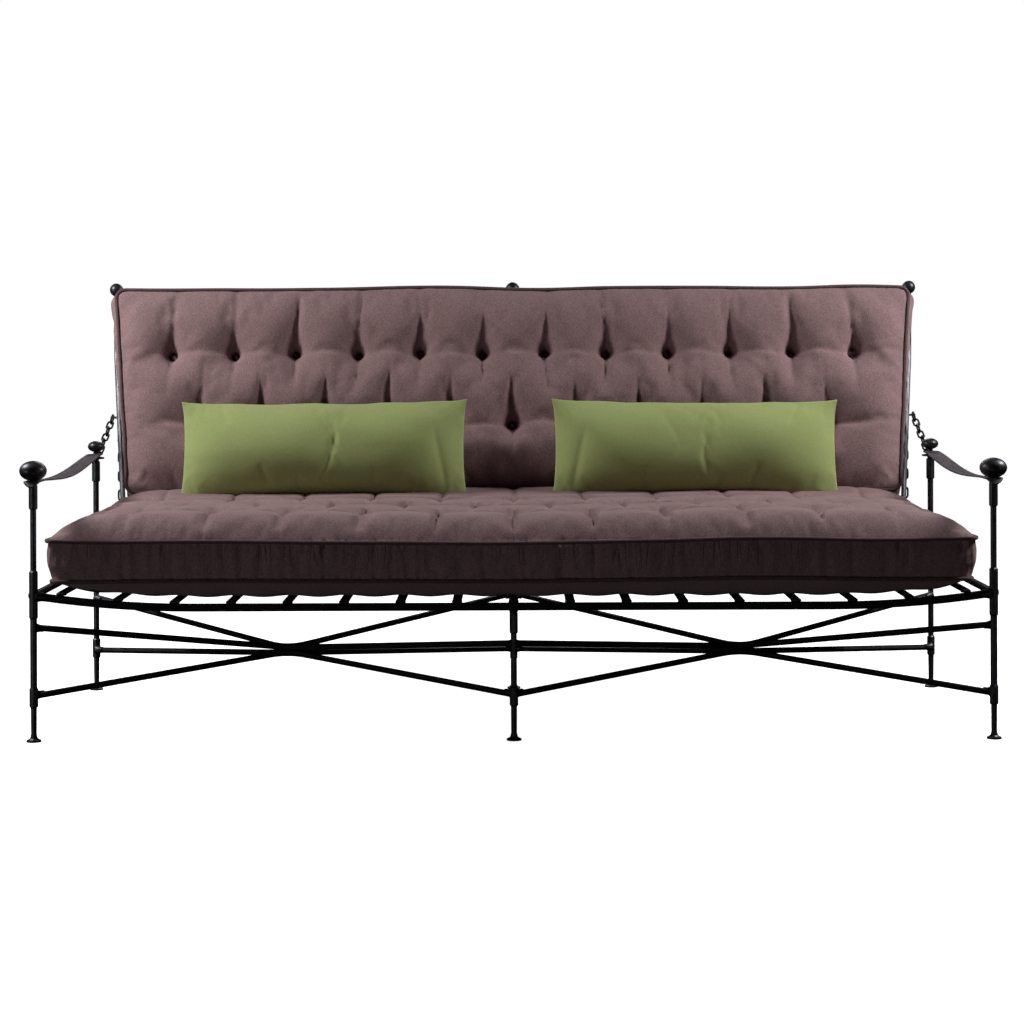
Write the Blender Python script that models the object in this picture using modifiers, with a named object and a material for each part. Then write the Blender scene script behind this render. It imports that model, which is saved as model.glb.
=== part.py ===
"""Iron daybed with sling arms and a reclining back held by chains.

Metres, +Z up. X runs along the seat, the front faces -Y, and the origin is on the
floor under the middle of the whole object. Each sub-part is one named object.
"""
import math

import bmesh
import bpy
from mathutils import Matrix, Vector

# ---------------------------------------------------------------- driving dimensions
POST_X = 1.020             # arm posts, left and right of the middle
LEG_DEPTH = 0.750          # front legs to rear legs
FRONT_Y = -0.4925          # places the whole object's depth evenly about the origin
REAR_Y = FRONT_Y + LEG_DEPTH
MID_Y = (FRONT_Y + REAR_Y) / 2

GAP = 0.0003               # between faces that touch
POST_R = 0.0066            # thin part of a front post
REAR_POST_R = 0.0070
FRONT_LEG_R = 0.0075       # the front legs are a little thicker below the rail
SLEEVE_R = 0.0095          # welded sleeves and collars

FRONT_POST_TOP = 0.548     # seat of the front arm strap
REAR_POST_TOP = 0.5705
STRAP_THICK = 0.0032
STRAP_HALF_WIDTH = 0.019
STRAP_SAG_Z = 0.538        # underside at the lowest point
STUD_R = 0.0030
SOCKET_R = 0.0035

RAIL_R = 0.0088
RAIL_END_Z = 0.310         # rail axis at the corner legs
RAIL_MID_Z = 0.284         # rail axis along the flat middle
RAIL_FLAT_X = 0.68         # the rail starts to rise here
SIDE_RAIL_R = 0.0085

SLAT_PITCH = 0.120
SLATS_EACH_SIDE = 8
SLAT_WIDTH = 0.020
SLAT_THICK = 0.005

ROD_R = 0.0069             # bowed stretcher rods
BUNDLE_X = 0.516
BUNDLE_Z = 0.145
LOW_NODE_Z = 0.097
ROD_END_GAP = 0.0022       # keeps a slanted rod end clear of its leg

LEAN = math.radians(19.23)         # the back, measured from upright
PIVOT_Y = REAR_Y + 0.022
PIVOT_Z = 0.335
PIVOT_R = 0.0060
BACK_LENGTH = 0.6863               # pivot to the middle of a top ball
BACK_BALL_R = 0.0170
UPRIGHT_R = 0.0065
UPRIGHT_FOOT_X = 0.953
UPRIGHT_FLARE = 0.0931             # outward run of an upright for each metre of its length
BALL_X = 1.010

HOOK_ALONG = 0.3495                # hook's place along the upright, from the pivot
HOOK_BEHIND = 0.0135
HOOK_R = 0.0030
RUN_END_X = 1.004                  # the taut run passes outside the upright
TAIL_X = 0.984                     # the spare tail hangs behind it
TAIL_SWING = (0.00123, -0.02926, 0.01536)   # from the hook to a point on the tail's swing axis

RING_Z = 0.566
RING_R = 0.0170
WIRE_R = 0.0024
LINK_PITCH = 0.0237
LINK_WIRE_R = 0.0025
LINK_HALF_WIDTH = 0.0070           # to the middle of the wire
RUN_LINKS = 6                      # from the ring towards the hook
RUN_START_BACK = 0.0033            # the first link's end passes round the ring
TAIL_LINKS = 9                     # hanging spare; its last link stays out too
TAIL_DROP = 0.0173                 # from the hook down to the first link of the tail
TAIL_BEHIND = 0.0060

SEAT_HALF_X = 0.985
SEAT_FRONT_Y = FRONT_Y + 0.004
SEAT_REAR_Y = REAR_Y - 0.004
SEAT_TOP_Z = 0.460
CUSHION_REAR = 0.009               # rear face of the back cushion, in front of the back frame
CUSHION_FRONT = 0.118
CUSHION_FOOT = 0.118               # along the back, from the pivot
CUSHION_HEAD = 0.640
PILLOW_HALF = (0.332, 0.052, 0.116)
PILLOW_X = {"left": -0.455, "right": 0.438}
PILLOW_ALONG = 0.2015
PILLOW_AHEAD = 0.190
PILLOW_LEAN = math.radians(26)     # the pillows lean back further than the cushion

TURN_STEPS = 12
LEFT_RIGHT = (("left", -1), ("right", 1))


# ---------------------------------------------------------------- scene and materials
def clear_scene():
    for obj in list(bpy.data.objects):
        bpy.data.objects.remove(obj, do_unlink=True)


def new_collection(name):
    collection = bpy.data.collections.new(name)
    bpy.context.scene.collection.children.link(collection)
    return collection


def put_in(obj, collection):
    for old in list(obj.users_collection):
        old.objects.unlink(obj)
    collection.objects.link(obj)


def material(name, colour, roughness, metallic=0.0):
    made = bpy.data.materials.new(name)
    made.use_nodes = True
    shader = made.node_tree.nodes["Principled BSDF"]
    shader.inputs["Base Color"].default_value = (*colour, 1.0)
    shader.inputs["Roughness"].default_value = roughness
    shader.inputs["Metallic"].default_value = metallic
    return made


clear_scene()
PARTS = new_collection("daybed")
CUTTERS = new_collection("cutters")

FINISHES = {
    "iron": ((0.022, 0.022, 0.027), 0.38, 0.6),
    "polished": ((0.16, 0.17, 0.19), 0.22, 0.9),
    "leather": ((0.085, 0.062, 0.075), 0.55, 0.0),
    "plum_cloth": ((0.21, 0.135, 0.14), 0.9, 0.0),
    "green_cloth": ((0.36, 0.50, 0.14), 0.9, 0.0),
}


def finish(obj, look):
    """Give a sub-part its own material and put it with the parts."""
    colour, roughness, metallic = FINISHES[look]
    obj.data.materials.clear()
    obj.data.materials.append(material(obj.name + "_" + look, colour, roughness, metallic))
    put_in(obj, PARTS)
    return obj


# ---------------------------------------------------------------- shape helpers
def turned(name, profile, place, rotation=None):
    """Turn a profile of (radius, height) points, listed from top to bottom."""
    mesh = bpy.data.meshes.new(name)
    points = [(radius, 0.0, height) for radius, height in profile]
    edges = [(index, index + 1) for index in range(len(points) - 1)]
    mesh.from_pydata(points, edges, [])
    obj = bpy.data.objects.new(name, mesh)
    PARTS.objects.link(obj)
    obj.location = place
    if rotation:
        obj.rotation_euler = rotation
    screw = obj.modifiers.new("turn", "SCREW")
    screw.steps = TURN_STEPS
    screw.render_steps = TURN_STEPS
    screw.use_merge_vertices = True
    screw.merge_threshold = 0.00001
    screw.use_normal_calculate = False
    screw.use_smooth_shade = True
    return obj


def rod(name, points, radius, sides_level=2, closed=False):
    """A round bar along a list of points."""
    curve = bpy.data.curves.new(name, "CURVE")
    curve.dimensions = "3D"
    curve.bevel_depth = radius
    curve.bevel_resolution = sides_level
    curve.use_fill_caps = not closed
    spline = curve.splines.new("POLY")
    spline.points.add(len(points) - 1)
    spline.use_cyclic_u = closed
    for spot, point in zip(spline.points, points):
        spot.co = (*point, 1.0)
    obj = bpy.data.objects.new(name, curve)
    PARTS.objects.link(obj)
    return obj


def as_mesh(obj):
    """Replace an object by the closed mesh that it evaluates to."""
    bpy.context.view_layer.update()
    graph = bpy.context.evaluated_depsgraph_get()
    mesh = bpy.data.meshes.new_from_object(obj.evaluated_get(graph))
    made = bpy.data.objects.new(obj.name + "_mesh", mesh)
    made.matrix_world = obj.matrix_world
    PARTS.objects.link(made)
    name = obj.name
    bpy.data.objects.remove(obj, do_unlink=True)
    made.name = name
    weld(made)
    return made


def weld(obj):
    """Merge doubled points and face every wall outward."""
    shape = bmesh.new()
    shape.from_mesh(obj.data)
    bmesh.ops.remove_doubles(shape, verts=shape.verts, dist=0.00001)
    bmesh.ops.recalc_face_normals(shape, faces=shape.faces)
    shape.to_mesh(obj.data)
    shape.free()


def join_solid(base, extra):
    """Boolean union of two closed meshes; the second one is used up."""
    union = base.modifiers.new("weld_on", "BOOLEAN")
    union.operation = "UNION"
    union.object = extra
    joined = as_mesh(base)
    bpy.data.objects.remove(extra, do_unlink=True)
    return joined


def box(name, low, high, bevel=0.0):
    bpy.ops.mesh.primitive_cube_add(size=1.0)
    obj = bpy.context.active_object
    obj.name = name
    low, high = Vector(low), Vector(high)
    size = high - low
    obj.data.transform(Matrix.Diagonal((*size, 1.0)))
    obj.location = (low + high) / 2
    if bevel:
        edge = obj.modifiers.new("edges", "BEVEL")
        edge.width = bevel
        edge.segments = 1
    put_in(obj, PARTS)
    return obj


def back_point(along, ahead, x=0.0):
    """World point from a distance up the back and a distance in front of its plane."""
    y = PIVOT_Y + along * math.sin(LEAN) - ahead * math.cos(LEAN)
    z = PIVOT_Z + along * math.cos(LEAN) + ahead * math.sin(LEAN)
    return Vector((x, y, z))


# ---------------------------------------------------------------- legs and rails
def foot_profile():
    """Flared foot standing on a disc."""
    return [(0.0062, 0.016), (0.0082, 0.0080), (0.0120, 0.0052), (0.0155, 0.0040),
            (0.0160, 0.0030), (0.0160, 0.0), (0.0, 0.0)]


def collar_profile(top, bottom, radius=SLEEVE_R, post_r=POST_R, below_r=None):
    """A sleeve with softened ends, on a thin post. below_r is the post's radius under it."""
    soft = 0.0030
    return [(post_r, top + soft), (radius, top), (radius, bottom), (below_r or post_r, bottom - soft)]


def stud_profile(post_top):
    """The threaded stud that takes the finial, and the shoulder the strap sits on."""
    return [(0.0, post_top + 0.0200), (STUD_R, post_top + 0.0200), (STUD_R, post_top)]


def leg_front(side_name, side):
    profile = stud_profile(FRONT_POST_TOP)
    profile += [(POST_R, FRONT_POST_TOP)]
    profile += collar_profile(0.5440, 0.4960)
    profile += collar_profile(0.3605, 0.2640, below_r=FRONT_LEG_R)
    profile += collar_profile(0.1120, 0.0750, post_r=FRONT_LEG_R, below_r=POST_R)
    profile += foot_profile()
    leg = turned("leg_front_" + side_name, profile, (side * POST_X, FRONT_Y, 0))
    return finish(leg, "iron")


def leg_rear(side_name, side):
    profile = stud_profile(REAR_POST_TOP)
    profile += [(REAR_POST_R, REAR_POST_TOP)]
    profile += collar_profile(0.5570, 0.5110, 0.0100, REAR_POST_R)
    profile += collar_profile(0.3605, 0.2640, SLEEVE_R, REAR_POST_R)
    profile += collar_profile(0.1230, 0.0810, SLEEVE_R, REAR_POST_R)
    profile += foot_profile()
    leg = as_mesh(turned("leg_rear_" + side_name, profile, (side * POST_X, REAR_Y, 0)))
    leg = join_solid(leg, hinge_arm(side))
    return finish(leg, "iron")


def hinge_arm(side):
    """Short arm with the eye that the back's pivot bar turns in."""
    eye_x = side * 1.000
    half_long = 0.0060
    ring = [(PIVOT_R + 0.0004, half_long), (0.0115, half_long), (0.0115, -half_long),
            (PIVOT_R + 0.0004, -half_long), (PIVOT_R + 0.0004, half_long)]
    eye = as_mesh(turned("eye", ring, (eye_x, PIVOT_Y, PIVOT_Z), (0, math.radians(90), 0)))
    near = eye_x - side * half_long * 0.8
    far = side * (POST_X + 0.002)
    low = (min(near, far), REAR_Y - 0.004, PIVOT_Z - 0.0050)
    high = (max(near, far), PIVOT_Y - PIVOT_R - 0.0018, PIVOT_Z + 0.0050)
    return join_solid(eye, as_mesh(box("eye_arm", low, high)))


def leg_centre(place_name, y):
    top = RAIL_MID_Z - RAIL_R - GAP
    profile = [(0.0, top), (POST_R, top)]
    profile += collar_profile(0.2700, 0.2290, 0.0090)
    profile += collar_profile(0.1120, 0.0750, 0.0092)
    profile += foot_profile()
    return finish(turned("leg_%s_centre" % place_name, profile, (0, y, 0)), "iron")


def rail_z(x):
    """Height of a long rail's axis: flat in the middle, rising to the corner legs."""
    rise = max(0.0, (abs(x) - RAIL_FLAT_X) / (POST_X - RAIL_FLAT_X))
    return RAIL_MID_Z + (RAIL_END_Z - RAIL_MID_Z) * rise ** 2


def long_rail(name, y):
    end = POST_X - SLEEVE_R - 0.0020
    steps = 7
    bend = [RAIL_FLAT_X + (end - RAIL_FLAT_X) * index / steps for index in range(steps + 1)]
    stations = [-x for x in reversed(bend)] + bend
    return finish(rod(name, [(x, y, rail_z(x)) for x in stations], RAIL_R), "iron")


def side_rail(side_name, side):
    x = side * POST_X
    clear = SLEEVE_R + 0.0005
    ends = [(x, FRONT_Y + clear, RAIL_END_Z), (x, REAR_Y - clear, RAIL_END_Z)]
    return finish(rod("side_rail_" + side_name, ends, SIDE_RAIL_R), "iron")


def slats():
    """Flat bars across the long rails, counted from left to right."""
    half = SLAT_WIDTH / 2
    for index in range(2 * SLATS_EACH_SIDE + 1):
        x = (index - SLATS_EACH_SIDE) * SLAT_PITCH
        base = rail_z(abs(x) + half) + RAIL_R + 2 * GAP
        low = (x - half, FRONT_Y - 0.001, base)
        high = (x + half, REAR_Y + 0.001, base + SLAT_THICK)
        finish(box("slat_%02d" % (index + 1), low, high, bevel=0.0010), "iron")


# ---------------------------------------------------------------- stretcher rods
def bowed_path(start, middle, end, softness=0.08, steps=8):
    """Two straight runs joined by a smooth bend that passes through the middle point."""
    control = (middle - (start + end) * softness / 4) / (1 - softness / 2)
    near = control + (start - control) * softness
    far = control + (end - control) * softness
    path = [start]
    for index in range(steps + 1):
        t = index / steps
        path.append(near * (1 - t) ** 2 + control * 2 * t * (1 - t) + far * t ** 2)
    path.append(end)
    return path


def pull_off(start, towards, clear):
    """Move a rod's end off the leg's axis, out to the leg's surface."""
    run = Vector((towards.x - start.x, towards.y - start.y, 0)).length
    return start + (towards - start) * clear / run


def stretchers():
    """Four rods in each half, bent together into a bundle two wide and two high."""
    rows = (("front", FRONT_Y, -1, 0.243, FRONT_LEG_R, 0.206, POST_R),
            ("rear", REAR_Y, 1, 0.226, REAR_POST_R, 0.232, SLEEVE_R))
    spread = ROD_R + GAP
    for side_name, side in LEFT_RIGHT:
        for row, y, step_y, corner_z, corner_r, centre_z, centre_r in rows:
            ends = (("low", -1, LOW_NODE_Z, SLEEVE_R, LOW_NODE_Z, SLEEVE_R),
                    ("high", 1, corner_z, corner_r, centre_z, centre_r))
            for level, step_z, start_z, start_r, end_z, end_r in ends:
                middle = Vector((side * BUNDLE_X, MID_Y + step_y * spread,
                                 BUNDLE_Z + step_z * spread))
                corner = Vector((side * POST_X, y, start_z))
                centre = Vector((0, y, end_z))
                path = bowed_path(pull_off(corner, middle, start_r + ROD_END_GAP), middle,
                                  pull_off(centre, middle, end_r + ROD_END_GAP))
                name = "stretcher_%s_%s_%s" % (row, level, side_name)
                finish(rod(name, path, ROD_R), "iron")


# ---------------------------------------------------------------- arms
def finial(name, x, y, seat, wide, high, neck):
    """Oblate ball with a short neck and a blind socket for the stud."""
    half_wide, half_high = wide / 2, high / 2
    neck_r = 0.0078
    bottom = seat + STRAP_THICK + 2 * GAP
    centre = bottom + neck + half_high * 0.94
    arcs = 9
    profile = []
    for index in range(arcs + 1):
        turn = math.radians(160) * index / arcs
        profile.append((half_wide * math.sin(turn), centre + half_high * math.cos(turn)))
    profile[0] = (0.0, centre + half_high)
    profile += [(neck_r, bottom + neck * 0.4), (neck_r, bottom), (SOCKET_R, bottom)]
    socket_top = seat + 0.0205
    profile += [(SOCKET_R, socket_top), (0.0, socket_top)]
    return finish(turned(name, profile, (x, y, 0)), "iron")


def strap_height(t):
    """Underside height of a sling strap, t from 0 at the front post to 1 at the rear post."""
    chord = FRONT_POST_TOP + (REAR_POST_TOP - FRONT_POST_TOP) * t
    lowest = 0.40
    dip = FRONT_POST_TOP + (REAR_POST_TOP - FRONT_POST_TOP) * lowest - STRAP_SAG_Z
    shape = (t * (1 - t)) ** 0.9 / (lowest * (1 - lowest)) ** 0.9
    return chord - dip * shape


def arm_strap(side_name, side):
    """Leather strap: a curved sheet with rounded ends, pierced for the studs."""
    front_tab, rear_tab, flat = 0.026, 0.014, 0.012
    span = LEG_DEPTH - 2 * flat
    stations = []
    tab_steps, run_steps = 4, 22
    for index in range(tab_steps):
        t = index / tab_steps
        away = flat + (front_tab - flat) * (1 - t)
        droop = 0.010 * (1 - t) ** 1.6
        stations.append((FRONT_Y - away, FRONT_POST_TOP - droop, front_tab - away))
    for index in range(run_steps + 1):
        t = index / run_steps
        stations.append((FRONT_Y + flat + span * t, strap_height(t), 1.0))
    stations.insert(tab_steps, (FRONT_Y - flat, FRONT_POST_TOP, 1.0))
    stations.append((REAR_Y + rear_tab, REAR_POST_TOP, 0.004))

    columns = (-1.0, -0.5, 0.0, 0.5, 1.0)
    points, faces = [], []
    for y, z, from_end in stations:
        narrow = 0.72 + 0.28 * min(1.0, from_end / 0.010) ** 0.6
        for column in columns:
            points.append((side * POST_X + column * STRAP_HALF_WIDTH * narrow, y, z))
    count = len(columns)
    for row in range(len(stations) - 1):
        for col in range(count - 1):
            corner = row * count + col
            faces.append((corner, corner + 1, corner + count + 1, corner + count))
    mesh = bpy.data.meshes.new("strap")
    mesh.from_pydata(points, [], faces)
    obj = bpy.data.objects.new("arm_strap_" + side_name, mesh)
    PARTS.objects.link(obj)
    thick = obj.modifiers.new("leather", "SOLIDIFY")
    thick.thickness = STRAP_THICK
    thick.offset = 1.0
    for y, seat in ((FRONT_Y, FRONT_POST_TOP), (REAR_Y, REAR_POST_TOP)):
        hole = punch(side * POST_X, y, seat)
        cut = obj.modifiers.new("stud_hole", "BOOLEAN")
        cut.operation = "DIFFERENCE"
        cut.object = hole
    obj.location.z = GAP
    return finish(obj, "leather")


def punch(x, y, z):
    bpy.ops.mesh.primitive_cylinder_add(vertices=12, radius=SOCKET_R, depth=0.03,
                                        location=(x, y, z))
    hole = bpy.context.active_object
    hole.name = "stud_punch"
    hole.display_type = "WIRE"
    hole.hide_render = True
    put_in(hole, CUTTERS)
    return hole


def ring_place(side):
    """Middle of the chain ring: pulled back against the front of the post by the chain."""
    slack = RING_R - WIRE_R - REAR_POST_R - 0.0004
    return Vector((side * POST_X, REAR_Y + slack, RING_Z))


def chain_ring(side_name, side):
    bpy.ops.mesh.primitive_torus_add(major_radius=RING_R, minor_radius=WIRE_R,
                                     major_segments=16, minor_segments=6,
                                     location=ring_place(side))
    obj = bpy.context.active_object
    obj.name = "chain_ring_" + side_name
    obj.data.shade_smooth()
    return finish(obj, "iron")


# ---------------------------------------------------------------- chains
def link_points():
    """Stadium outline of one link, long axis along Z."""
    half_long = LINK_PITCH / 2 + 0.0019
    straight = half_long - LINK_HALF_WIDTH
    points = []
    for end in (1, -1):
        for index in range(5):
            turn = math.radians(45 * index)
            x = LINK_HALF_WIDTH * math.cos(turn) * end
            z = (LINK_HALF_WIDTH * math.sin(turn) + straight) * end
            points.append((x, 0.0, z))
    return points


def chain(name, start, direction, links, first_link, joint):
    """Links fused into one strand. Odd links stand in the plane X = constant."""
    swing = direction.to_track_quat("Z", "X").to_matrix().to_4x4()
    strand = None
    for index in range(links):
        obj = rod("link", link_points(), LINK_WIRE_R, 0, closed=True)
        upright = (first_link + index) % 2 == 1
        twist = Matrix.Rotation(chain_twist(direction, upright), 4, "Z")
        middle = start + direction * LINK_PITCH * (index + 0.5)
        obj.matrix_world = Matrix.Translation(middle) @ swing @ twist
        obj = as_mesh(obj)
        obj.data.transform(obj.matrix_world)
        obj.matrix_world = Matrix.Identity(4)
        strand = obj if strand is None else join_solid(strand, obj)
    strand.name = name
    strand.data.transform(Matrix.Translation(-joint))
    strand.location = joint
    return finish(strand, "iron")


def chain_twist(direction, upright):
    """Turn about the strand's own axis that brings a link into its plane."""
    local_x = direction.to_track_quat("Z", "X") @ Vector((1, 0, 0))
    local_y = direction.to_track_quat("Z", "X") @ Vector((0, 1, 0))
    to_world_x = math.atan2(local_y.x, local_x.x)
    return to_world_x + (math.pi / 2 if upright else 0.0)


def chains():
    """On each side a taut run from the arm ring, and a spare tail behind the upright.

    The caught link and the one below it stay out, so that both strands can swing free.
    """
    tail_first_link = RUN_LINKS + 3
    for side_name, side in LEFT_RIGHT:
        ring_back = ring_place(side) + Vector((0, RING_R, 0))
        hook = back_point(HOOK_ALONG, -HOOK_BEHIND, side * RUN_END_X)
        direction = (hook - ring_back).normalized()
        start = ring_back - direction * RUN_START_BACK
        chain("chain_run_" + side_name, start, direction, RUN_LINKS, 1, ring_back)
        hook.x = side * TAIL_X
        start = hook + Vector((0, TAIL_BEHIND, -TAIL_DROP))
        swing = hook + Vector((side * TAIL_SWING[0], TAIL_SWING[1], TAIL_SWING[2]))
        down = Vector((0, 0, -1))
        chain("chain_tail_" + side_name, start, down, TAIL_LINKS, tail_first_link, swing)


# ---------------------------------------------------------------- back frame
def upright_x(along):
    straight = UPRIGHT_FOOT_X + UPRIGHT_FLARE * along
    bend_from = 0.52
    if along <= bend_from:
        return straight
    at_bend = UPRIGHT_FOOT_X + UPRIGHT_FLARE * bend_from
    share = (along - bend_from) / (BACK_LENGTH - bend_from)
    return at_bend + (BALL_X - at_bend) * share


def back_upright(side_name, side):
    foot = PIVOT_R + 0.0006
    head = BACK_LENGTH - BACK_BALL_R - 0.0004
    stations = [foot, 0.18, HOOK_ALONG, 0.50, 0.58, head]
    points = [back_point(along, 0, side * upright_x(along)) for along in stations]
    bar = as_mesh(rod("back_upright_" + side_name, points, UPRIGHT_R))
    behind = back_point(HOOK_ALONG, -HOOK_BEHIND)
    inner = Vector((side * (TAIL_X - 0.006), behind.y, behind.z))
    outer = Vector((side * (RUN_END_X + 0.0055), behind.y, behind.z))
    root = back_point(HOOK_ALONG, -0.002, inner.x)
    hook = as_mesh(rod("hook", [root, inner, outer], HOOK_R, 1))
    return finish(join_solid(bar, hook), "polished")


def back_upright_centre():
    ends = [back_point(PIVOT_R + 0.0006, 0), back_point(BACK_LENGTH - BACK_BALL_R - 0.0004, 0)]
    return finish(rod("back_upright_centre", ends, UPRIGHT_R), "iron")


def back_ball(name, x):
    bpy.ops.mesh.primitive_uv_sphere_add(segments=16, ring_count=10, radius=BACK_BALL_R,
                                         location=back_point(BACK_LENGTH, 0, x))
    obj = bpy.context.active_object
    obj.name = name
    obj.data.shade_smooth()
    return finish(obj, "iron")


def pivot_bar():
    """Bar along X with a collar inside each eye, so that it can't slide out."""
    tip, collar_out, collar_in = 1.0090, 0.9925, 0.9860
    half = [(0.0, tip), (PIVOT_R, tip), (PIVOT_R, collar_out), (0.0090, collar_out),
            (0.0090, collar_in), (PIVOT_R, collar_in)]
    profile = half + [(radius, -height) for radius, height in reversed(half)]
    bar = turned("back_pivot_bar", profile, (0, PIVOT_Y, PIVOT_Z), (0, math.radians(90), 0))
    return finish(bar, "iron")


def cross_rails():
    """Rails behind the back cushion. They stop at the uprights, either side of the middle one."""
    for name, along in (("back_rail_top", 0.600), ("back_rail_mid", 0.250)):
        end = upright_x(along) - UPRIGHT_R - 0.0026
        behind = UPRIGHT_R + 0.0055 + 0.0006
        inset = 0.030
        points = [back_point(along, 0, -end), back_point(along, -behind, -end + inset),
                  back_point(along, -behind, end - inset), back_point(along, 0, end)]
        finish(rod(name, points, 0.0055), "iron")


# ---------------------------------------------------------------- soft parts
def seat_cushion():
    """Plain solid whose underside follows the dished slats."""
    stations = 17
    lift = RAIL_R + SLAT_THICK + 0.0030
    points, faces = [], []
    for index in range(stations):
        x = -SEAT_HALF_X + 2 * SEAT_HALF_X * index / (stations - 1)
        under = rail_z(abs(x) + SLAT_PITCH / 2) + lift
        inset = 0.012 if index in (0, stations - 1) else 0.0
        for y, z in ((SEAT_FRONT_Y + inset, under), (SEAT_REAR_Y - inset, under),
                     (SEAT_REAR_Y - inset, SEAT_TOP_Z), (SEAT_FRONT_Y + inset, SEAT_TOP_Z)):
            points.append((x, y, z))
    for index in range(stations - 1):
        here, there = index * 4, index * 4 + 4
        for corner in range(4):
            after = (corner + 1) % 4
            faces.append((here + corner, there + corner, there + after, here + after))
    last = (stations - 1) * 4
    faces += [(0, 1, 2, 3), (last + 3, last + 2, last + 1, last)]
    mesh = bpy.data.meshes.new("seat_cushion")
    mesh.from_pydata(points, [], faces)
    obj = bpy.data.objects.new("seat_cushion", mesh)
    PARTS.objects.link(obj)
    weld(obj)
    return finish(obj, "plum_cloth")


def back_cushion():
    """Plain solid, wider at the top, in front of the back frame."""
    foot_half, head_half = 0.930, 0.985
    points = []
    for along, half in ((CUSHION_FOOT, foot_half), (CUSHION_HEAD, head_half)):
        for ahead in (CUSHION_REAR, CUSHION_FRONT):
            for side in (-1, 1):
                points.append(back_point(along, ahead, side * half))
    faces = [(0, 1, 3, 2), (4, 6, 7, 5), (0, 4, 5, 1), (2, 3, 7, 6), (0, 2, 6, 4), (1, 5, 7, 3)]
    mesh = bpy.data.meshes.new("back_cushion")
    mesh.from_pydata(points, [], faces)
    obj = bpy.data.objects.new("back_cushion", mesh)
    PARTS.objects.link(obj)
    weld(obj)
    return finish(obj, "plum_cloth")


def pillow(side_name):
    half = Vector(PILLOW_HALF)
    obj = box("pillow_" + side_name, -half, half)
    soft = obj.modifiers.new("soft_edges", "BEVEL")
    soft.width = 0.030
    soft.segments = 2
    obj.location = back_point(PILLOW_ALONG, PILLOW_AHEAD, PILLOW_X[side_name])
    obj.rotation_euler = (-PILLOW_LEAN, 0, 0)
    return finish(obj, "green_cloth")


# ---------------------------------------------------------------- the whole daybed
def build():
    for side_name, side in LEFT_RIGHT:
        leg_front(side_name, side)
        leg_rear(side_name, side)
        side_rail(side_name, side)
        finial("finial_front_" + side_name, side * POST_X, FRONT_Y, FRONT_POST_TOP,
               0.058, 0.043, 0.0035)
        finial("finial_rear_" + side_name, side * POST_X, REAR_Y, REAR_POST_TOP,
               0.039, 0.027, 0.0045)
        arm_strap(side_name, side)
        chain_ring(side_name, side)
        back_upright(side_name, side)
        back_ball("back_ball_" + side_name, side * BALL_X)
        pillow(side_name)
    leg_centre("front", FRONT_Y)
    leg_centre("rear", REAR_Y)
    long_rail("front_rail", FRONT_Y)
    long_rail("rear_rail", REAR_Y)
    slats()
    stretchers()
    chains()
    pivot_bar()
    back_upright_centre()
    back_ball("back_ball_centre", 0.0)
    cross_rails()
    seat_cushion()
    back_cushion()


build()
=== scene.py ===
"""Iron daybed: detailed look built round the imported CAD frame.

Metres, in the CAD's own frame. X runs along the seat, the front faces -Y.
"""
import math

import bmesh
import bpy
import numpy as np
from mathutils import Matrix, Vector, noise


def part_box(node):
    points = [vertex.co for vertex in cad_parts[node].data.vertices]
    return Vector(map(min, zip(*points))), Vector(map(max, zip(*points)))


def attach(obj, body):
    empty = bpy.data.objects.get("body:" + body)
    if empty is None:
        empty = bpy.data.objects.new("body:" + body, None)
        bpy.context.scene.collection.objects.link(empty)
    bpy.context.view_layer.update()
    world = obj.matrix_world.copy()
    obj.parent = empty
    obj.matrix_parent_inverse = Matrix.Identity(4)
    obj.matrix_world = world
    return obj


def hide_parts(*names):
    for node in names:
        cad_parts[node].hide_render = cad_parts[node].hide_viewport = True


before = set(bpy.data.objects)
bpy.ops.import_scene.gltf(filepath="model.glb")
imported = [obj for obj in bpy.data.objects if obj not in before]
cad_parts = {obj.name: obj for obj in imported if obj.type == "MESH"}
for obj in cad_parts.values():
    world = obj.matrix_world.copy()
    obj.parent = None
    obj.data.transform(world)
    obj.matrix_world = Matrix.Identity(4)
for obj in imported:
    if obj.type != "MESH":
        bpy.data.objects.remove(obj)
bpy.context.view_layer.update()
SIDES = (("left", -1), ("right", 1))


def middle(node):
    low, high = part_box(node)
    return (Vector(low) + Vector(high)) / 2


# ---------------------------------------------------------------- places from the CAD
POST_X = middle("leg_front_right").x
FRONT_Y = middle("leg_front_right").y
REAR_Y = middle("leg_rear_centre").y
DEPTH = REAR_Y - FRONT_Y
PIVOT = middle("back_pivot_bar")
BALL = middle("back_ball_centre")
LEAN = math.atan2(BALL.y - PIVOT.y, BALL.z - PIVOT.z)
SLATS = 17
SLAT_TOPS = [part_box("slat_%02d" % (index + 1))[1][2] for index in range(SLATS)]
SEAT_LOW, SEAT_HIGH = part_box("seat_cushion")
SEAT_HALF_DEEP = (SEAT_HIGH[1] - SEAT_LOW[1]) / 2

# ---------------------------------------------------------------- dimensions of the soft parts
SLAT_PITCH = 0.120
SEAT_HALF = 0.991
SEAT_SHIFT = -0.004                # the cushion lies a little to the left
SEAT_CORNER = 0.022
SEAT_TOP_WELT = 0.4215
SEAT_LOW_WELT = 0.339
SEAT_PITCH = 0.166                 # between buttons along the seat
SEAT_ROWS = ((0.185, 11), (0.371, 12), (0.556, 11))

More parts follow.
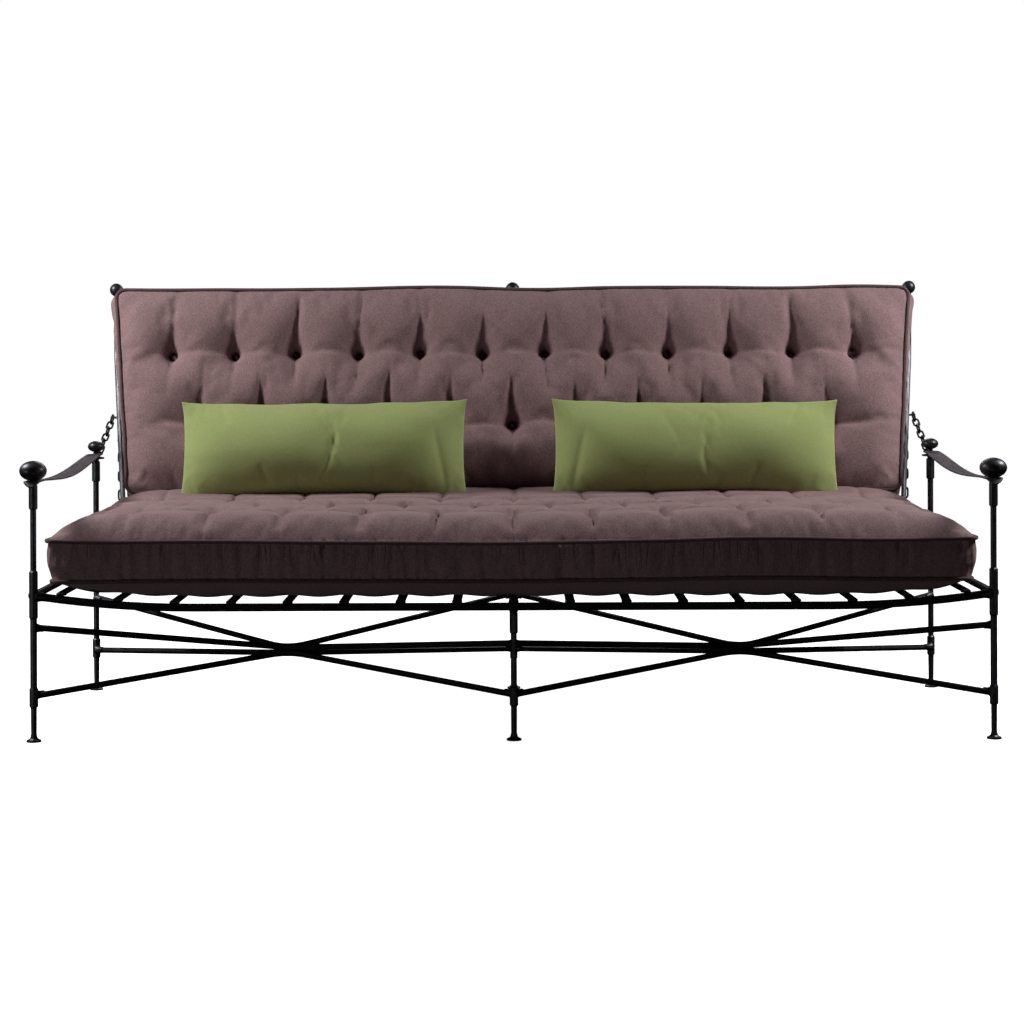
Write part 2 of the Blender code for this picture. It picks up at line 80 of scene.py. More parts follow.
BACK_FOOT, BACK_HEAD = 0.123, 0.645        # along the back, from the pivot
BACK_REAR, BACK_FRONT = 0.012, 0.104       # behind and in front, at the welts
BACK_FOOT_HALF, BACK_HEAD_HALF = 0.940, 0.992
BACK_CORNER = 0.024
BACK_PITCH = 0.1535
BACK_ROWS = ((0.475, 12), (0.290, 11))
WELT_R = 0.0047
WELT_PROUD = 0.0024                # the cord's middle stands out from the seam by this much
BUTTON_R = 0.0088

PILLOW_SIZE = (0.690, 0.243)
PILLOW_LEAN = math.radians(13)
PILLOW_FRONT, PILLOW_BACK = 0.074, 0.034   # fullness of the two panels before stuffing
LINK_PITCH = 0.0237
LINK_HALF_WIDTH = 0.0070
LINK_WIRE_R = 0.0025
RUN_LINKS, TAIL_LINKS = 6, 11
RUN_X, TAIL_X = 1.004, 0.984               # outside the upright, and behind it
HOOK_ALONG, HOOK_BEHIND = 0.3495, 0.0135   # up the back from the pivot, behind its plane


def back_point(along, ahead, x=0.0):
    """World point from a distance up the back and a distance in front of its plane."""
    y = PIVOT.y + along * math.sin(LEAN) - ahead * math.cos(LEAN)
    z = PIVOT.z + along * math.cos(LEAN) + ahead * math.sin(LEAN)
    return Vector((x, y, z))


# ---------------------------------------------------------------- camera, lights, floor
def camera():
    """Level view of the whole front, from about 5 m."""
    height, away = 0.8415, 4.967
    data = bpy.data.cameras.new("camera")
    data.lens = 82.2
    data.sensor_width = 36.0
    data.shift_x = -0.0007
    data.shift_y = -0.164
    data.dof.use_dof = False
    obj = bpy.data.objects.new("camera", data)
    bpy.context.scene.collection.objects.link(obj)
    turn = Matrix.Rotation(math.radians(90), 4, "X") @ Matrix.Rotation(math.radians(-0.2), 4, "Z")
    obj.matrix_world = Matrix.Translation((0, FRONT_Y - away, height)) @ turn
    bpy.context.scene.camera = obj


def soft_box(name, place, aim, size, power):
    data = bpy.data.lights.new(name, "AREA")
    data.shape = "RECTANGLE"
    data.size, data.size_y = size
    data.energy = power
    obj = bpy.data.objects.new(name, data)
    bpy.context.scene.collection.objects.link(obj)
    obj.location = place
    obj.rotation_euler = (Vector(aim) - Vector(place)).to_track_quat("-Z", "Y").to_euler()
    obj.visible_camera = False


def studio():
    """Strong soft boxes beyond both arms, low ones far out in front, three fills, a pale floor.

    The left low box is the stronger, so that the gathers on the seat's front cast shadows.
    """
    for (name, side), power, low_power in zip(SIDES, (39, 38), (26, 5)):
        key_place, key_aim = (side * 2.1, -0.20, 1.75), (side * 0.3, 0.15, 0.6)
        low_place, low_aim = (side * 5.0, -3.6, 0.19), (side * 0.5, -0.5, 0.34)
        soft_box("key_" + name, key_place, key_aim, (0.35, 0.6), power)
        soft_box("low_" + name, low_place, low_aim, (0.3, 0.24), low_power)
    soft_box("toe", (0, -1.25, 0.10), (0, -0.5, 0.30), (2.4, 0.12), 0.45)
    soft_box("top", (0, -0.30, 2.7), (0, 0.05, 0.5), (2.8, 0.5), 2)
    soft_box("behind", (0, 2.4, 2.0), (0, 0.2, 0.6), (2.6, 1.0), 28)
    world = bpy.data.worlds.new("studio")
    bpy.context.scene.world = world
    world.use_nodes = True
    world.node_tree.nodes["Background"].inputs["Color"].default_value = (1.0, 1.0, 1.0, 1.0)
    world.node_tree.nodes["Background"].inputs["Strength"].default_value = 1.0
    world.cycles_visibility.diffuse = False
    world.cycles_visibility.glossy = False
    bpy.context.scene.view_settings.view_transform = "Standard"

    mesh = bpy.data.meshes.new("floor")
    reach = 14.0
    corners = [(-reach, -reach, 0), (reach, -reach, 0), (reach, reach, 0), (-reach, reach, 0)]
    mesh.from_pydata(corners, [], [(0, 1, 2, 3)])
    floor = bpy.data.objects.new("floor", mesh)
    bpy.context.scene.collection.objects.link(floor)
    made, shader = new_material("floor_paint")
    shader.inputs["Base Color"].default_value = (0.9, 0.9, 0.9, 1.0)
    shader.inputs["Roughness"].default_value = 0.9
    shader.inputs["Emission Color"].default_value = (1.0, 1.0, 1.0, 1.0)
    shader.inputs["Emission Strength"].default_value = 1.0
    mesh.materials.append(made)
    floor.visible_diffuse = False
    floor.visible_glossy = False


# ---------------------------------------------------------------- material helpers
def new_material(name):
    made = bpy.data.materials.new(name)
    made.use_nodes = True
    return made, made.node_tree.nodes["Principled BSDF"]


def place_coords(tree, scale, turn=(0, 0, 0)):
    """Object coordinates in metres, turned and scaled for a texture."""
    coords = tree.nodes.new("ShaderNodeTexCoord")
    mapping = tree.nodes.new("ShaderNodeMapping")
    mapping.inputs["Rotation"].default_value = turn
    mapping.inputs["Scale"].default_value = scale
    tree.links.new(coords.outputs["Object"], mapping.inputs["Vector"])
    return mapping.outputs["Vector"]


def grain(tree, scale, detail=2.0, turn=(0, 0, 0), roughness=0.5):
    """Noise value whose blotches are 1/scale metres along each axis."""
    made = tree.nodes.new("ShaderNodeTexNoise")
    made.inputs["Scale"].default_value = 1.0
    made.inputs["Detail"].default_value = detail
    made.inputs["Roughness"].default_value = roughness
    tree.links.new(place_coords(tree, scale, turn), made.inputs["Vector"])
    return made.outputs["Fac"]


def ramp(tree, value, stops):
    made = tree.nodes.new("ShaderNodeValToRGB")
    band = made.color_ramp
    while len(band.elements) < len(stops):
        band.elements.new(0.5)
    for element, (spot, colour) in zip(band.elements, stops):
        element.position = spot
        element.color = (*colour, 1.0)
    tree.links.new(value, made.inputs["Fac"])
    return made.outputs["Color"]


def blend_colours(tree, mode, amount, first, second):
    made = tree.nodes.new("ShaderNodeMix")
    made.data_type = "RGBA"
    made.blend_type = mode
    made.inputs["Factor"].default_value = amount
    tree.links.new(first, made.inputs["A"])
    tree.links.new(second, made.inputs["B"])
    return made.outputs["Result"]


def maths(tree, operation, first, second):
    made = tree.nodes.new("ShaderNodeMath")
    made.operation = operation
    for socket, value in zip(made.inputs, (first, second)):
        if isinstance(value, (int, float)):
            socket.default_value = value
        else:
            tree.links.new(value, socket)
    return made.outputs["Value"]


def between(tree, value, low, high):
    """0 where the value is at low, 1 where it is at high, clamped outside."""
    made = tree.nodes.new("ShaderNodeMapRange")
    made.inputs["From Min"].default_value = low
    made.inputs["From Max"].default_value = high
    tree.links.new(value, made.inputs["Value"])
    return made.outputs["Result"]


def seam_gathers(tree, welt_z):
    """Height of fine upright folds that hang from a level welt and fade away from it."""
    folds = maths(tree, "ABSOLUTE", maths(tree, "SUBTRACT", grain(tree, (44, 0, 4), 1.0), 0.5), 0)
    ridge = between(tree, folds, 0.0, 0.05)
    parts = tree.nodes.new("ShaderNodeSeparateXYZ")
    coords = tree.nodes.new("ShaderNodeTexCoord")
    tree.links.new(coords.outputs["Object"], parts.inputs["Vector"])
    hang = between(tree, parts.outputs["Z"], welt_z - 0.060, welt_z - 0.006)
    stop = between(tree, parts.outputs["Z"], welt_z + 0.004, welt_z)
    near = maths(tree, "MULTIPLY", hang, stop)
    patchy = between(tree, grain(tree, (7, 0, 1), 1.0), 0.35, 0.60)
    return maths(tree, "MULTIPLY", maths(tree, "MULTIPLY", ridge, near), patchy)


def bump(tree, shader, height, distance, strength):
    made = tree.nodes.new("ShaderNodeBump")
    made.inputs["Strength"].default_value = strength
    made.inputs["Distance"].default_value = distance
    tree.links.new(height, made.inputs["Height"])
    tree.links.new(made.outputs["Normal"], shader.inputs["Normal"])


# ---------------------------------------------------------------- materials
def iron_material():
    """Forged bar under a thin black lacquer: slow colour drift, fine hammer marks."""
    made, shader = new_material("black_iron")
    dark, light = (0.012, 0.012, 0.016), (0.035, 0.036, 0.046)
    tree = made.node_tree
    drift = grain(tree, (38, 38, 38), detail=4.0)
    tree.links.new(ramp(tree, drift, ((0.35, dark), (0.72, light))), shader.inputs["Base Color"])
    rough = ramp(tree, grain(tree, (160, 160, 160), 3.0), ((0.3, (0.34,) * 3), (0.75, (0.52,) * 3)))
    tree.links.new(rough, shader.inputs["Roughness"])
    shader.inputs["Metallic"].default_value = 0.55
    shader.inputs["Coat Weight"].default_value = 0.25
    shader.inputs["Coat Roughness"].default_value = 0.34
    marks = maths(tree, "ADD", grain(tree, (130, 130, 130), 3.0), grain(tree, (900, 900, 900), 1.0))
    bump(tree, shader, marks, 0.0004, 0.25)
    return made


def bright_material():
    """Lacquer rubbed through to bright steel in long streaks."""
    made, shader = new_material("bright_iron")
    tree = made.node_tree
    streaks = grain(tree, (240, 14, 9), detail=4.0, roughness=0.62)
    colour = ramp(tree, streaks, ((0.33, (0.025, 0.027, 0.034)), (0.43, (0.32, 0.34, 0.39)),
                                  (0.55, (0.72, 0.75, 0.80))))
    tree.links.new(colour, shader.inputs["Base Color"])
    rough = ramp(tree, streaks, ((0.36, (0.42,) * 3), (0.6, (0.20,) * 3)))
    tree.links.new(rough, shader.inputs["Roughness"])
    shader.inputs["Metallic"].default_value = 0.92
    bump(tree, shader, grain(tree, (300, 60, 60), 3.0), 0.0004, 0.5)
    return made


def leather_material():
    """Dark bridle leather: fine pores, long stretch marks, paler rubbed patches."""
    made, shader = new_material("strap_leather")
    tree = made.node_tree
    drift = grain(tree, (60, 14, 60), detail=5.0, roughness=0.6)
    colour = ramp(tree, drift, ((0.3, (0.022, 0.015, 0.020)), (0.55, (0.046, 0.033, 0.043)),
                                (0.8, (0.085, 0.063, 0.076))))
    tree.links.new(colour, shader.inputs["Base Color"])
    rough = ramp(tree, drift, ((0.3, (0.58,) * 3), (0.8, (0.74,) * 3)))
    tree.links.new(rough, shader.inputs["Roughness"])
    pores = tree.nodes.new("ShaderNodeTexVoronoi")
    pores.inputs["Scale"].default_value = 1.0
    tree.links.new(place_coords(tree, (900, 700, 900)), pores.inputs["Vector"])
    height = maths(tree, "ADD", maths(tree, "MULTIPLY", pores.outputs["Distance"], 0.5),
                   grain(tree, (200, 60, 200), 4.0))
    bump(tree, shader, height, 0.0005, 0.7)
    return made


def linen_material(name, tones, warp_turn, sheen_tint, thread=780.0, sheen=0.25, mottle=0.10,
                   welt_z=None):
    """Plain weave: crossed threads of three mixed yarns, soft slubs and a light fuzz.

    welt_z is the height of a welt that the cloth is gathered on to, if there is one.
    """
    made, shader = new_material(name)
    tree = made.node_tree
    across = grain(tree, (thread * 0.22, thread, thread), 1.5, warp_turn)
    upward = grain(tree, (thread, thread * 0.22, thread * 0.22), 1.5, warp_turn)
    yarn = maths(tree, "MULTIPLY", maths(tree, "ADD", across, upward), 0.5)
    speck = grain(tree, (thread * 0.55,) * 3, 2.0, warp_turn, 0.7)
    mixed = maths(tree, "ADD", maths(tree, "MULTIPLY", yarn, 0.55),
                  maths(tree, "MULTIPLY", speck, 0.45))
    colour = ramp(tree, mixed, ((0.36, tones[0]), (0.50, tones[1]), (0.63, tones[2])))
    patches = grain(tree, (9, 9, 9), 3.0)
    low, high = 1.0 - mottle, 1.0 + mottle * 0.2
    worn = ramp(tree, patches, ((0.3, (low,) * 3), (0.7, (min(high, 1.0),) * 3)))
    tree.links.new(blend_colours(tree, "MULTIPLY", 1.0, colour, worn), shader.inputs["Base Color"])
    shader.inputs["Roughness"].default_value = 0.92
    shader.inputs["Specular IOR Level"].default_value = 0.18
    shader.inputs["Sheen Weight"].default_value = sheen
    shader.inputs["Sheen Roughness"].default_value = 0.5
    shader.inputs["Sheen Tint"].default_value = (*sheen_tint, 1.0)
    slub = maths(tree, "ADD", mixed, maths(tree, "MULTIPLY", grain(tree, (70, 70, 70), 3.0), 0.8))
    if welt_z is not None:
        slub = maths(tree, "ADD", slub, maths(tree, "MULTIPLY", seam_gathers(tree, welt_z), 7.0))
    bump(tree, shader, slub, 0.0009, 0.55)
    return made


def make_materials():
    plum = ((0.160, 0.092, 0.095), (0.248, 0.154, 0.157), (0.342, 0.228, 0.228))
    # shaded_plum is the same plum linen painted darker. It is painted shade on the welt cords,
    # partly dirt along their edges, and painted shade on the back buttons down in their pits.
    shaded_plum = ((0.060, 0.034, 0.037), (0.105, 0.065, 0.068), (0.155, 0.100, 0.104))
    green = ((0.272, 0.322, 0.118), (0.333, 0.390, 0.148), (0.395, 0.460, 0.185))
    tilt = (LEAN, 0, 0)
    return {
        "iron": iron_material(),
        "bright": bright_material(),
        "leather": leather_material(),
        "seat_linen": linen_material("seat_linen", plum, (0, 0, 0), (0.75, 0.62, 0.62),
                                     welt_z=SEAT_TOP_WELT),
        "back_linen": linen_material("back_linen", plum, tilt, (0.75, 0.62, 0.62)),
        # Darker copy of the plum linen: painted shade for the welts and the back buttons.
        "shaded_plum_linen": linen_material("shaded_plum_linen", shaded_plum, tilt, (0.6, 0.45, 0.45)),
        "green": linen_material("green_cloth", green, tilt, (0.75, 0.9, 0.5), 1250.0, 0.15, 0.06),
    }


# ---------------------------------------------------------------- mesh helpers
def mesh_object(name, points, faces, material):
    mesh = bpy.data.meshes.new(name)
    mesh.from_pydata([tuple(point) for point in points], [], faces)
    mesh.materials.append(material)
    mesh.shade_smooth()
    obj = bpy.data.objects.new(name, mesh)
    bpy.context.scene.collection.objects.link(obj)
    return obj


def sweep(points, radii, sides=10, closed=False, first_up=(0, 0, 1)):
    """Points and faces of a round tube along a path, its frame carried along without twist."""
    path = [Vector(point) for point in points]
    count = len(path)
    rings, faces = [], []
    up = Vector(first_up)
    for index, point in enumerate(path):
        after = path[(index + 1) % count] if closed or index < count - 1 else point
        before = path[index - 1] if closed or index > 0 else point
        run = (after - before).normalized()
        side = run.cross(up).normalized()
        up = side.cross(run).normalized()
        radius = radii[index] if isinstance(radii, (list, tuple)) else radii
        for step in range(sides):
            turn = 2 * math.pi * step / sides
            rings.append(point + (side * math.cos(turn) + up * math.sin(turn)) * radius)
    rows = count if closed else count - 1
    for row in range(rows):
        here, there = row * sides, ((row + 1) % count) * sides
        for step in range(sides):
            after = (step + 1) % sides
            faces.append((here + step, here + after, there + after, there + step))
    if not closed:
        faces.append(tuple(reversed(range(sides))))
        faces.append(tuple(range((count - 1) * sides, count * sides)))
    return rings, faces


def tube(name, points, radii, material, sides=10, closed=False, first_up=(0, 0, 1)):
    rings, faces = sweep(points, radii, sides, closed, first_up)
    return mesh_object(name, rings, faces, material)


def lathe(name, profile, place, material, steps=36):
    """Turn (radius, height) points, listed from the top down, about a vertical axis."""
    points, faces, rows = [], [], []
    for radius, height in profile:
        count = 1 if radius < 1e-6 else steps
        rows.append((len(points), count))
        for step in range(count):
            turn = 2 * math.pi * step / steps
            points.append(Vector(place) + Vector((radius * math.cos(turn),
                                                  radius * math.sin(turn), height)))
    for (here, here_count), (there, there_count) in zip(rows, rows[1:]):
        for step in range(steps):
            after = (step + 1) % steps
            top = {here + step % here_count, here + after % here_count}
            face = [here + after % here_count, here + step % here_count]
            if len(top) == 1:
                face = [here]
            face += [there + step % there_count]
            if there_count > 1:
                face.append(there + after % there_count)
            faces.append(tuple(face))
    return mesh_object(name, points, faces, material)


def joined(name, pieces):
    """One object from several meshes that share a material."""
    shape = bmesh.new()
    for piece in pieces:
        shape.from_mesh(piece.data)
    made = pieces[0]
    shape.to_mesh(made.data)
    shape.free()
    for piece in pieces[1:]:
        bpy.data.objects.remove(piece, do_unlink=True)
    made.name = name
    return made


# ---------------------------------------------------------------- iron work
def finials(look):
    """Oblate balls with a turned neck: large ones in front, smaller ones behind."""
    sizes = (("front", 0.0580, 0.0430, 0.0), ("rear", 0.0390, 0.0270, 0.003))
    for row, wide, high, lift in sizes:
        for name, _ in SIDES:
            node = "finial_%s_%s" % (row, name)
            low, high_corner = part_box(node)
            centre = middle(node)
            top = high_corner[2] + lift
            ball_z = top - high / 2
            profile = [(0.0, top)]
            for index in range(1, 30):
                turn = math.radians(164) * index / 29
                profile.append((wide / 2 * math.sin(turn), ball_z + high / 2 * math.cos(turn)))
            neck = 0.0084
            profile += [(neck, low[2] + 0.0012), (neck + 0.0008, low[2] + 0.0004), (neck, low[2])]
            profile.append((0.0, low[2]))
            ball = lathe("ball_%s_%s" % (row, name), profile, (centre.x, centre.y, 0), look)
            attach(ball, "frame")
            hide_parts(node)


def back_balls(look):
    for place_name in ("left", "centre", "right"):
        node = "back_ball_" + place_name
        low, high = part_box(node)
        radius = (high[2] - low[2]) / 2
        centre = middle(node)
        turns = [math.pi * index / 26 for index in range(27)]
        profile = [(radius * math.sin(turn), radius * math.cos(turn)) for turn in turns]
        profile[0], profile[-1] = (0.0, radius), (0.0, -radius)
        ball = lathe("top_ball_" + place_name, profile, centre, look)
        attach(ball, "backrest")
        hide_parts(node)


def frame_finishes(looks):
    """CAD nodes whose shape is right keep it and get a real finish."""
    polished = ("back_upright_left", "back_upright_right")
    iron_starts = ("leg_", "front_rail", "rear_rail", "side_rail", "slat_", "stretcher_",
                   "back_upright_centre", "back_rail_", "back_pivot_bar")
    for name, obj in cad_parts.items():
        look = None
        if name in polished:
            look = looks["bright"]
        elif name.startswith(iron_starts):
            look = looks["iron"]
        if look:
            for socket in obj.material_slots:
                socket.material = look


def bar_tip(node, way):
    """The middle of a bar's end face, the way out of it, and the bar's radius there."""
    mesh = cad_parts[node].data
    points = np.array([vertex.co for vertex in mesh.vertices])
    reach = points @ np.array(way, float)
    tip = points[reach > reach.max() - 0.004]
    rest = points[reach < reach.max() - 0.010]
    rest_reach = rest @ np.array(way, float)
    inner = rest[rest_reach > rest_reach.max() - 0.004]
    centre, back = Vector(tip.mean(axis=0)), Vector(inner.mean(axis=0))
    radius = max((Vector(point) - centre).length for point in tip)
    return centre, (centre - back).normalized(), radius


def weld(centre, out, radius, look):
    """Concave flare of weld metal from a bar's end on to the leg beside it."""
    points, radii = [], []
    for index in range(9):
        t = index / 8
        points.append(centre - out * 0.0145 * (1 - t) + out * 0.0042 * t)
        radii.append(radius + 0.0001 + 0.0042 * t ** 2.2)
    return tube("weld", points, radii, look, 14, False, (0.1, 0.2, 1))


def bead(x, y, z, look):
    """Run of weld metal across a slat's end, down on to the rail under it."""
    points, radii = [], []
    for step, radius in ((-0.0112, 0.0010), (-0.0100, 0.0030), (-0.0050, 0.0035), (0.0, 0.0034),
                         (0.0050, 0.0036), (0.0100, 0.0030), (0.0112, 0.0010)):
        points.append(Vector((x + step, y, z)))
        radii.append(radius)
    return tube("bead", points, radii, look, 10)


def welds(look):
    """Weld metal where every rod and rail meets a leg."""
    made = []
    for name, side in SIDES:
        for row in ("front", "rear"):
            for level in ("low", "high"):
                for way in ((1, 0, 0), (-1, 0, 0)):
                    tip = bar_tip("stretcher_%s_%s_%s" % (row, level, name), way)
                    made.append(weld(*tip, look))
            made.append(weld(*bar_tip(row + "_rail", (side, 0, 0)), look))
        for way in ((0, 1, 0), (0, -1, 0)):
            made.append(weld(*bar_tip("side_rail_" + name, way), look))
    for row in ("front", "rear"):
        made.append(weld(*bar_tip("leg_%s_centre" % row, (0, 0, 1)), look))
    for index in range(SLATS):
        low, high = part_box("slat_%02d" % (index + 1))
        for y in (low[1] - 0.0010, high[1] + 0.0010):
            made.append(bead((low[0] + high[0]) / 2, y, low[2] + 0.0016, look))
    metal = joined("weld_metal", made)
    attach(metal, "frame")


# ---------------------------------------------------------------- chains
def link_path(centre, along, across):
    """Stadium outline of one chain link."""
    half_long = LINK_PITCH / 2 + 0.0019
    straight = half_long - LINK_HALF_WIDTH
    points = []
    for end in (1, -1):
        for index in range(9):
            turn = math.pi * index / 8
            points.append(centre + across * LINK_HALF_WIDTH * math.cos(turn) * end
                          + along * (LINK_HALF_WIDTH * math.sin(turn) + straight) * end)
    return points


def chain_link(centre, along, odd, look):
    """Odd links stand in the vertical plane across X, even ones lie flat to it."""
    level = Vector((1, 0, 0))
    level = (level - along * level.dot(along)).normalized()
    across = along.cross(level).normalized() if odd else level
    normal = along.cross(across)
    return tube("link", link_path(centre, along, across), LINK_WIRE_R, look, 8, True, normal)


def chains(look):
    """Taut run from the arm ring to the hook, the link on the hook, and the hanging tail."""
    for name, side in SIDES:
        hook = back_point(HOOK_ALONG, -HOOK_BEHIND, side * TAIL_X)
        outer = Vector((side * RUN_X, hook.y, hook.z))
        ring = middle("chain_ring_" + name)
        ring_back = Vector((ring.x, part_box("chain_ring_" + name)[1][1] - 0.0024, ring.z))
        along = (outer - ring_back).normalized()
        start = ring_back - along * 0.0033
        links = [chain_link(start + along * LINK_PITCH * (index + 0.5), along, index % 2 == 0, look)
                 for index in range(RUN_LINKS)]
        run = joined("chain_run_links_" + name, links)
        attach(run, "chain_run_" + name)
        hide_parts("chain_run_" + name)
        last = start + along * LINK_PITCH * (RUN_LINKS + 0.5)
        caught = joined("chain_hook_link_" + name, [chain_link(last, along, True, look)])
        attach(caught, "backrest")
        down = Vector((0, 0, -1))
        first = hook + Vector((0, 0.0060, -0.0173))
        links = [chain_link(first + down * LINK_PITCH * (index - 0.5), down, index % 2 == 1, look)
                 for index in range(TAIL_LINKS)]
        tail = joined("chain_tail_links_" + name, links)
        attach(tail, "chain_tail_" + name)
        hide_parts("chain_tail_" + name)


def rings(look):
    """Bent wire ring round each rear post, under the strap."""
    for name, _ in SIDES:
        node = "chain_ring_" + name
        centre = middle(node)
        radius = 0.0170
        points = []
        for index in range(40):
            turn = 2 * math.pi * index / 40
            points.append(centre + Vector((radius * math.cos(turn), radius * math.sin(turn), 0)))
        ring = tube("wire_ring_" + name, points, 0.0024, look, 10, True)
        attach(ring, "frame")
        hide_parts(node)


# ---------------------------------------------------------------- straps
def strap_line():
    """(y, z, width share) along the underside of an arm strap, front tip to rear tip."""
    front_top, rear_top, dip = 0.5505, 0.5730, 0.017
    front_tab, rear_tab, flat = 0.026, 0.014, 0.012
    line = []
    for index in range(14):
        t = index / 14
        away = flat + (front_tab - flat) * (1 - t)
        end = (front_tab - away) / 0.019
        width = math.sqrt(max(0.0, 1 - (1 - min(1.0, end)) ** 2))
        line.append((FRONT_Y - away, front_top - 0.010 * (1 - t) ** 1.6, max(width, 0.25)))
    peak = 0.1095
    for index in range(61):
        t = index / 60
        chord = front_top + (rear_top - front_top) * t
        shape = t ** 1.5 * (1 - t) ** 1.7 / peak
        y = FRONT_Y + flat + (DEPTH - 2 * flat) * t
        line.append((y, chord - dip * shape, 1.0))
    for index in range(1, 9):
        t = index / 8
        width = math.sqrt(1 - (t * 0.92) ** 2)
        line.append((REAR_Y - flat + (flat + rear_tab) * t, rear_top, max(width, 0.3)))
    return line


def straps(look):
    """Leather straps, slightly cupped, with rounded edges and a pressed line inside each edge."""
    half, thick = 0.0190, 0.0032
    section = []
    spots = [-1.0, -0.97, -0.90, -0.86, -0.82, -0.5, 0.0, 0.5, 0.82, 0.86, 0.90, 0.97, 1.0]
    for spot in spots:
        round_off = 0.0011 if abs(spot) == 1.0 else 0.0
        press = 0.0004 if abs(spot) == 0.86 else 0.0
        section.append((spot, thick - round_off - press))
    for spot in reversed(spots):
        round_off = 0.0011 if abs(spot) == 1.0 else 0.0
        section.append((spot, round_off))
    for name, side in SIDES:
        points, faces = [], []
        line = strap_line()
        count = len(section)
        for index, (y, z, width) in enumerate(line):
            before, after = line[max(index - 1, 0)], line[min(index + 1, len(line) - 1)]
            slope = Vector((0, after[0] - before[0], after[1] - before[1])).normalized()
            up = Vector((0, -slope.z, slope.y))
            twist = 0.0010 * math.sin(y * 9.0 + side)
            for spot, lift in section:
                cup = 0.0008 * spot * spot + twist * spot
                x = side * POST_X + spot * half * width
                points.append(Vector((x, y, z + 0.0003)) + up * (lift + cup))
        for row in range(len(line) - 1):
            for step in range(count):
                after = (step + 1) % count
                faces.append((row * count + step, row * count + after,
                              (row + 1) * count + after, (row + 1) * count + step))
        faces.append(tuple(reversed(range(count))))
        faces.append(tuple(range((len(line) - 1) * count, len(line) * count)))
        strap = mesh_object("strap_" + name, points, faces, look)
        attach(strap, "frame")
        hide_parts("arm_strap_" + name)


# ---------------------------------------------------------------- cushion skins
def skin(counts, place):
    """Closed skin of a box lattice. place(u, v, w) gives the point for each 0..1 position."""
    nx, ny, nz = counts
    index, points, params, faces = {}, [], [], []

    def vert(i, j, k):
        if (i, j, k) not in index:
            index[i, j, k] = len(points)
            params.append((i / nx, j / ny, k / nz))
            points.append(place(i / nx, j / ny, k / nz))
        return index[i, j, k]

    def quad(*corners):
        faces.append(tuple(vert(*corner) for corner in corners))

    for i in range(nx):
        for j in range(ny):
            quad((i, j, 0), (i, j + 1, 0), (i + 1, j + 1, 0), (i + 1, j, 0))
            quad((i, j, nz), (i + 1, j, nz), (i + 1, j + 1, nz), (i, j + 1, nz))
    for i in range(nx):
        for k in range(nz):
            quad((i, 0, k), (i + 1, 0, k), (i + 1, 0, k + 1), (i, 0, k + 1))
            quad((i, ny, k), (i, ny, k + 1), (i + 1, ny, k + 1), (i + 1, ny, k))
    for j in range(ny):
        for k in range(nz):
            quad((0, j, k), (0, j, k + 1), (0, j + 1, k + 1), (0, j + 1, k))
            quad((nx, j, k), (nx, j + 1, k), (nx, j + 1, k + 1), (nx, j, k + 1))
    return points, params, faces


def round_corner(across, high, half_x, half_y, radius):
    """Bend the corners of a -1..1 square so that its outline turns with a radius."""
    a = radius - (1 - abs(across)) * half_x
    b = radius - (1 - abs(high)) * half_y
    if a <= 0 or b <= 0:
        return across, high
    in_a = a * math.sqrt(1 - b * b / (2 * radius * radius))
    in_b = b * math.sqrt(1 - a * a / (2 * radius * radius))
    turned_x = math.copysign(abs(across) - (a - in_a) / half_x, across)
    turned_y = math.copysign(abs(high) - (b - in_b) / half_y, high)
    return turned_x, turned_y


def rim(place, w):
    """Closed loop of points round the lattice's edge at one level."""
    nx, ny = 220, 80
    loop = [place(i / nx, 0, w) for i in range(nx)]
    loop += [place(1, j / ny, w) for j in range(ny)]
    loop += [place(1 - i / nx, 1, w) for i in range(nx)]
    loop += [place(0, 1 - j / ny, w) for j in range(ny)]
    return loop


def inflate(obj, held, pressure, cap, slack, frames=18):
    """Swell a skin with Blender's cloth solver. Held vertices stay, no point moves over the cap.

    slack is how much longer the cloth is than the shape it starts from.
    """
    scene = bpy.context.scene
    group = obj.vertex_groups.new(name="held")
    group.add(held, 1.0, "REPLACE")
    before = np.array([vertex.co for vertex in obj.data.vertices])
    cloth = obj.modifiers.new("cloth", "CLOTH")
    settings = cloth.settings
    settings.quality = 5
    settings.mass = 0.25
    settings.tension_stiffness = 12
    settings.compression_stiffness = 12
    settings.shear_stiffness = 6
    settings.bending_stiffness = 0.35
    settings.use_pressure = True
    settings.uniform_pressure_force = pressure
    settings.shrink_min = -slack
    settings.shrink_max = -slack
    settings.vertex_group_mass = "held"
    settings.effector_weights.gravity = 0.0
    cloth.collision_settings.use_collision = False
    cloth.point_cache.frame_start = 1
    cloth.point_cache.frame_end = frames
    for number in range(1, frames + 1):
        scene.frame_set(number)
    graph = bpy.context.evaluated_depsgraph_get()
    swollen = obj.evaluated_get(graph).to_mesh()
    after = np.array([vertex.co for vertex in swollen.vertices])
    obj.evaluated_get(graph).to_mesh_clear()
    obj.modifiers.remove(cloth)
    scene.frame_set(1)
    move = after - before
    length = np.linalg.norm(move, axis=1)
    share = np.minimum(1.0, cap / np.maximum(length, 1e-9))
    set_points(obj, before + move * share[:, None])
    obj.vertex_groups.clear()


def tied_down(param, flat, buttons, reach):
    """Mask of the welts, and the points that stay put: welts, button seats and the far face.

    param holds the lattice positions and flat the same points in the plane of the buttons.
    """
    u, v, w = param.T
    welted = ((u == 0) | (u == 1) | (v == 0) | (v == 1)) & ((w == 0) | (w == 1))
    held = welted | (w == 0)
    for x, y in buttons:
        held |= (w == 1) & (np.hypot(flat[:, 0] - x, flat[:, 1] - y) < reach)
    return welted, np.nonzero(held)[0].tolist()


def sharpen(obj, on_seam):
    """Mark the edges along a seam so that subdivision keeps them."""
    creases = obj.data.attributes.new("crease_edge", "FLOAT", "EDGE")
    for edge in obj.data.edges:
        a, b = edge.vertices
        if on_seam[a] and on_seam[b]:
            creases.data[edge.index].value = 1.0


